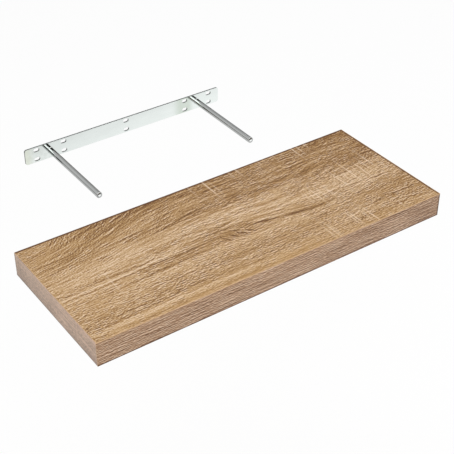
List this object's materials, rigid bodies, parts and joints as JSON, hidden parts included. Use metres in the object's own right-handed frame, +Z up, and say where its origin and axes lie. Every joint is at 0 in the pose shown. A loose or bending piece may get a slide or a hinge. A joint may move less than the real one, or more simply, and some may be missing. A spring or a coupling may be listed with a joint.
{
  "type": "floating wall shelf",
  "caption": "Hollow oak-effect board pulled off a flat steel wall bracket with round rods; the board slides onto the rods and hides the bracket.",
  "frame": {"origin": "middle of the bracket plate's wall face", "axes": "+X to the right seen from the front, +Y into the wall, +Z up"},
  "size_m": [0.6, 0.487, 0.04],
  "materials": {
    "zinc_plate": "bright zinc plated flat bar",
    "zinc_rod": "bright zinc plated round bar",
    "oak_print": "oak print on fibreboard, satin",
    "front_band": "oak print edge band, satin",
    "end_band": "plain beige edge band, satin",
    "chipboard": "raw chipboard",
    "kraft_paper": "kraft paper honeycomb"
  },
  "bodies": {
    "bracket": {"wall_plate": "zinc_plate", "left_rod": "zinc_rod", "right_rod": "zinc_rod"},
    "board": {"top_skin": "oak_print", "bottom_skin": "oak_print", "front_rail": "chipboard", "rear_rail": "chipboard", "left_end_rail": "chipboard", "right_end_rail": "chipboard", "left_cross_rail": "chipboard", "right_cross_rail": "chipboard", "left_honeycomb": "kraft_paper", "middle_honeycomb": "kraft_paper", "right_honeycomb": "kraft_paper", "front_edge_band": "front_band", "left_edge_band": "end_band", "right_edge_band": "end_band"}
  },
  "joints": [
    {"name": "board_slide", "type": "slide", "parent": "bracket", "child": "board", "axis": [0, 1, 0], "range_m": [0, 0.2517]}
  ]
}
